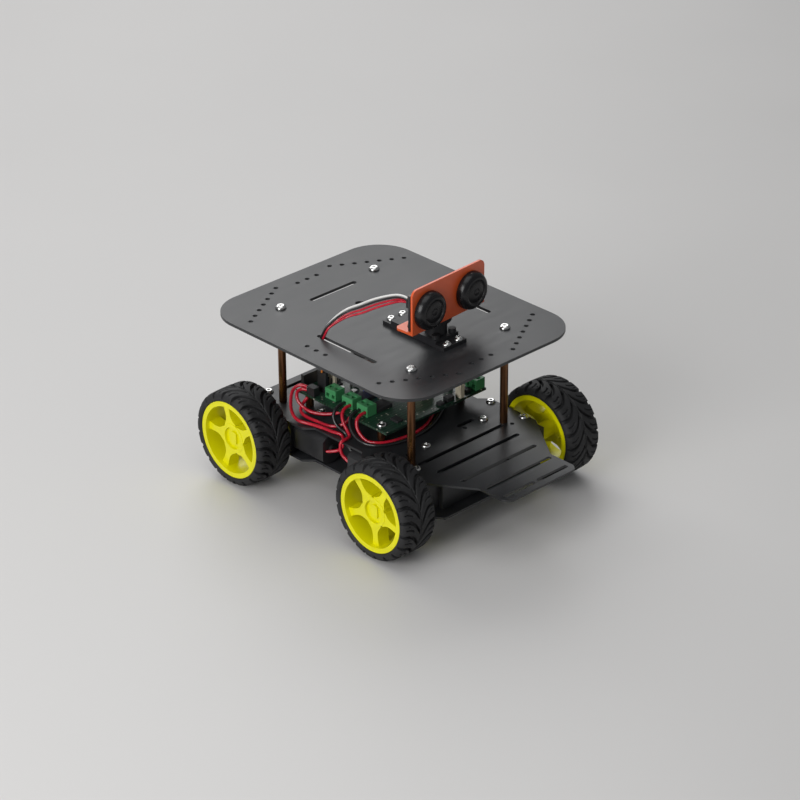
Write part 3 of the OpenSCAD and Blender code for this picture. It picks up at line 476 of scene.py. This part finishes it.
def round_edges(item, radius, segments=2, angle=40.0):
    """Rounds the edges of a piece; the mesh itself isn't changed."""
    weld(item)
    planar = item.modifiers.new("planar", "DECIMATE")
    planar.decimate_type = "DISSOLVE"
    planar.angle_limit = math.radians(FLAT_WITHIN)
    bevel = item.modifiers.new("bevel", "BEVEL")
    bevel.width = radius * MM
    bevel.segments = segments
    bevel.limit_method = "ANGLE"
    bevel.angle_limit = math.radians(angle)
    bevel.use_clamp_overlap = True
    flat = item.modifiers.new("flat_faces", "WEIGHTED_NORMAL")
    flat.weight = 100
    flat.keep_sharp = True


def smooth_tubes(item):
    """Makes the CAD's eight sided wires round and as thick as their insulation."""
    weld(item)
    thicken = item.modifiers.new("thicken", "DISPLACE")
    thicken.mid_level = 0.0
    thicken.strength = INSULATION * MM
    round_up = item.modifiers.new("round", "SUBSURF")
    round_up.levels = 1
    round_up.render_levels = 2


# ---------- wheels ----------

def groove(distance, half_width, wall=0.35):
    """1 in the middle of a groove and 0 outside it, with steep walls."""
    return np.clip((half_width + wall - np.abs(distance)) / wall, 0, 1)


def tread_depth(turn, across):
    """Depth of the tread's grooves, for arrays of angle in radians and place across in millimetres.

    Long grooves sweep from nearly along the tyre at its middle to straight across at its shoulders.
    """
    side = np.abs(across)
    pitch = 2 * math.pi * TYRE_R / TREAD_LUGS
    lug = turn * TREAD_LUGS / (2 * math.pi) + np.where(across > 0, 0.0, 0.5)
    reach = np.clip((SWOOSH_END - side) / (SWOOSH_END - SWOOSH_START), 0, 1)
    swept = lug + SWOOSH_TURN * reach ** 2
    slope = 2 * pitch * SWOOSH_TURN * reach / (SWOOSH_END - SWOOSH_START)
    square = np.sqrt(1 + slope ** 2)
    swoosh_half = SWOOSH_HALF + SWOOSH_WIDENS * (1 - reach)
    grooves = [groove((swept % 1.0 - 0.5) * pitch / square, swoosh_half) * (side > SWOOSH_START)]
    for after, half_width, start, end, share in THIN_GROOVES:
        thin = groove(((swept + after) % 1.0 - 0.5) * pitch / square, half_width)
        grooves.append(share * thin * (side > start) * (side < end))
    zigzag = ZIGZAG_REACH * (4 * np.abs((lug % 1.0) - 0.5) - 1)
    grooves.append(ZIGZAG_SHARE * groove(across - zigzag, ZIGZAG_HALF))
    return GROOVE_DEPTH * np.maximum.reduce(grooves)


def tyre_profile():
    """(across, radius, share of the groove depth) round the outside of the tyre."""
    half = TYRE_W / 2
    shoulder_mid_r = TYRE_R - CROWN_DROP - SHOULDER_R
    crown = []
    for across in np.arange(-CROWN_HALF, CROWN_HALF + CROWN_STEP / 2, CROWN_STEP):
        crown.append((across, TYRE_R - CROWN_DROP * (across / CROWN_HALF) ** 2, 1.0))
    shoulder = []
    for step in range(1, SHOULDER_STEPS + 1):
        turn = math.radians(step * SHOULDER_STEP_TURN)
        share = min(1.0, max(0.0, 1 - (step - GROOVED_STEPS) / (SHOULDER_STEPS - GROOVED_STEPS)))
        across = CROWN_HALF + SHOULDER_R * math.sin(turn)
        shoulder.append((across, shoulder_mid_r + SHOULDER_R * math.cos(turn), share))
    wall = [(half - inward, radius, 0.0) for inward, radius in (
        (0.02, 27.9), (0.1, 27.3), (0.5, 27.0), (0.7, 26.7), (1.1, 26.5), (2.5, FLANGE_R + 0.02),
        (2.6, BEAD_R + 0.05))]
    right = shoulder + wall
    left = [(-a, r, s) for a, r, s in reversed(right)]
    return left + crown + right


def tyre_mesh(material):
    """One tyre about its own Z, shared by the four wheels."""
    profile = np.array(tyre_profile())
    turns = np.linspace(0, 2 * math.pi, TREAD_STEPS, endpoint=False)
    across = np.broadcast_to(profile[:, 0], (TREAD_STEPS, len(profile)))
    depth = tread_depth(turns[:, None], across) * profile[:, 2]
    radius = profile[:, 1] - depth
    points = np.stack([radius * np.cos(turns)[:, None], radius * np.sin(turns)[:, None], across], -1)
    count = len(profile)
    faces = []
    for i in range(TREAD_STEPS):
        near, far = i * count, (i + 1) % TREAD_STEPS * count
        for k in range(count):
            n = (k + 1) % count
            faces.append((near + k, far + k, far + n, near + n))
    mesh = bpy.data.meshes.new("tyre")
    mesh.from_pydata((points.reshape(-1, 3) * MM).tolist(), [], faces)
    mesh.materials.append(material)
    mesh.shade_smooth()
    mesh.set_sharp_from_angle(angle=math.radians(TREAD_SHARP_ANGLE))
    return mesh


def make_tyres(materials):
    """The four treaded tyres, each on its wheel's body."""
    mesh = tyre_mesh(materials["tyre"])
    for name, (side, end) in WHEELS.items():
        item = bpy.data.objects.new(f"treaded_tyre_{name}", mesh)
        bpy.context.scene.collection.objects.link(item)
        place = Vector((side * TRACK / 2, AXLE_MID_Y + end * WHEELBASE / 2, TYRE_R)) * MM
        turn = Matrix.Rotation(math.radians(90), 4, "Y")
        if side < 0:
            turn = Matrix.Rotation(math.radians(180), 4, "Z") @ turn
        item.matrix_world = Matrix.Translation(place) @ turn
        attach(item, f"wheel_{name}")
        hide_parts(f"tyre_{name}")


# ---------- sensor head ----------

def to_head(points):
    """Points beside the servo's shaft, turned with the head."""
    c, s = math.cos(math.radians(HEAD_TURN)), math.sin(math.radians(HEAD_TURN))
    return [(x * c - y * s, HORN_Y + x * s + y * c, z) for x, y, z in points]


def cap_profile():
    """(radius, height) of a sonar cap from its foot to its middle."""
    mid_r, mid_h = CAP_SHOULDER_AT
    half_r, half_h = CAP_SHOULDER_HALF
    shoulder = []
    for degrees in range(0, 91, 10):
        turn = math.radians(degrees)
        shoulder.append((mid_r + half_r * math.cos(turn), mid_h + half_h * math.sin(turn)))
    return [(NECK_R, 0.0), (SONAR_R - 0.3, 0.0), (SONAR_R, 0.3), *shoulder, *CAP_FACE]


def make_sonars(materials):
    """Domed rubber caps with a bulging shoulder, a ring and a small button in the middle."""
    cap = lathe(cap_profile(), CAP_STEPS)
    neck = lathe([(NECK_R, 0.05), (NECK_R, -NECK_LENGTH), (0.0, -NECK_LENGTH)], NECK_STEPS)
    points, faces = joined([cap, neck])
    for side, name in ((1, "left"), (-1, "right")):
        local = [(side * SONAR_X + x, SONAR_FACE_Y - z, SONAR_Z + y) for x, y, z in points]
        item = piece(f"sonar_cap_{name}", to_head(local), faces, materials["dome"], "sensor_head",
                     CAP_SHARP_ANGLE)
        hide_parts(f"sonar_{name}")


def arch(share):
    """0 at share 0, 1 in the middle, and 0 from share 1 on."""
    return math.sin(math.pi * min(share, 1.0))


def strand(row, column, bulge):
    """The function that gives tube() the place of one of the sensor's wires beside their route."""
    up, across = row * SENSOR_WIRE_PITCH / 2, column * SENSOR_WIRE_PITCH / 2

    def beside(share):
        spread = arch(share / SLOT_SHARE)
        return up + bulge[0] * spread, across + bulge[1] * spread

    return beside


def make_sensor_lead(materials):
    """Four wires, that spread a little above the deck."""
    for name, (row, column, bulge, look) in SENSOR_WIRES.items():
        points, faces = tube(SENSOR_ROUTE, SENSOR_WIRE_R, strand(row, column, bulge))
        wire = piece(f"sensor_wire_{name}", points, faces, materials[look], None)
        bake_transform(wire)


def make_servo_lead(materials):
    """Three wires side by side."""
    for k, color in enumerate(("orange", "red", "brown")):
        points, faces = tube(SERVO_ROUTE, SERVO_WIRE_R, lambda share: ((k - 1) * SERVO_WIRE_PITCH, 0))
        wire = piece(f"servo_wire_{color}", points, faces, materials[f"wire_{color}"], "chassis")


def make_plugs(materials):
    """The plugs of the two leads, on the board's pins."""
    sensor = ("sensor", SENSOR_PLUG_X, "sensor_cable", "cream")
    servo = ("servo", SERVO_PLUG_X, "servo_lead", "black")
    for name, x, node, color in (sensor, servo):
        points, faces = box_mesh((x, PIN_Y, PLUG_FOOT_Z + PLUG_SIZE[2] / 2), PLUG_SIZE)
        plug = piece(f"{name}_plug", points, faces, materials[color], "chassis")
        round_edges(plug, PLUG_EDGE_R)
        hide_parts(node)


# ---------- finish of the CAD nodes ----------

def repaint(item, material, low, high):
    """Gives the faces of a node that stand over a rectangle, in millimetres, another material."""
    mesh = item.data
    mesh.materials.append(material)
    for face in mesh.polygons:
        middle = item.matrix_world @ face.center / MM
        if low[0] <= middle.x <= high[0] and low[1] <= middle.y <= high[1]:
            face.material_index = 1


def finish_nodes(frame, materials):
    """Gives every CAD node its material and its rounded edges."""
    for look, names in NODE_MATERIALS.items():
        for name in names:
            mesh = frame["nodes"][name].data
            mesh.materials.clear()
            mesh.materials.append(materials[look])
    repaint(frame["nodes"]["power_connectors"], materials["black"], *POWER_PLUG)
    repaint(frame["nodes"]["board_capacitors"], materials["blue"], *BLUE_PART)
    for name, radius in EDGES.items():
        round_edges(frame["nodes"][name], radius)
    for name in ("motor_wires_red", "motor_wires_black"):
        smooth_tubes(frame["nodes"][name])


# ---------- studio ----------

def make_floor():
    """A plain pale floor, that isn't part of the model."""
    material = surface("pale_floor", (0.62, 0.61, 0.6), 0.55, mottle=0.015, scale=3, bump=0.02, grain=200)
    mesh = bpy.data.meshes.new("floor")
    corners = [(x * FLOOR_HALF, y * FLOOR_HALF, 0) for x, y in ((-1, -1), (1, -1), (1, 1), (-1, 1))]
    mesh.from_pydata(corners, [], [(0, 1, 2, 3)])
    mesh.materials.append(material)
    floor = bpy.data.objects.new("floor", mesh)
    bpy.context.scene.collection.objects.link(floor)


def area_light(name, place, aim, size, power):
    """A soft white light that faces its aim."""
    data = bpy.data.lights.new(name, "AREA")
    data.shape = "RECTANGLE"
    data.size, data.size_y = size
    data.energy = power
    item = bpy.data.objects.new(name, data)
    item.location = place
    item.rotation_mode = "QUATERNION"
    item.rotation_quaternion = (Vector(aim) - Vector(place)).to_track_quat("-Z", "Y")
    bpy.context.scene.collection.objects.link(item)


def make_lights():
    """Three softboxes in a dim pale surround, with colours shown as they are."""
    world = bpy.data.worlds.new("studio")
    world.use_nodes = True
    background = world.node_tree.nodes["Background"]
    background.inputs["Color"].default_value = WORLD_COLOR
    background.inputs["Strength"].default_value = WORLD_STRENGTH
    bpy.context.scene.world = world
    bpy.context.scene.view_settings.view_transform = "Standard"
    for light in LIGHTS:
        area_light(*light)


def make_camera():
    """The camera, looking down at the robot's right front."""
    data = bpy.data.cameras.new("camera")
    data.lens = LENS
    data.sensor_width = SENSOR
    data.clip_start, data.clip_end = VIEW_NEAR, VIEW_FAR
    camera = bpy.data.objects.new("camera", data)
    place, aim = Vector(CAMERA_AT) * MM, Vector(CAMERA_LOOKS_AT) * MM
    camera.location = place
    camera.rotation_mode = "QUATERNION"
    level = (aim - place).to_track_quat("-Z", "Y")
    camera.rotation_quaternion = level @ Matrix.Rotation(math.radians(CAMERA_ROLL), 3, "Z").to_quaternion()
    bpy.context.scene.collection.objects.link(camera)
    bpy.context.scene.camera = camera


def clear_scene():
    """Removes what a new scene starts with."""
    for item in list(bpy.data.objects):
        bpy.data.objects.remove(item)


clear_scene()
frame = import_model()
make_camera()
materials = make_materials()
finish_nodes(frame, materials)
make_tyres(materials)
make_sonars(materials)
make_sensor_lead(materials)
make_servo_lead(materials)
make_plugs(materials)
make_floor()
make_lights()
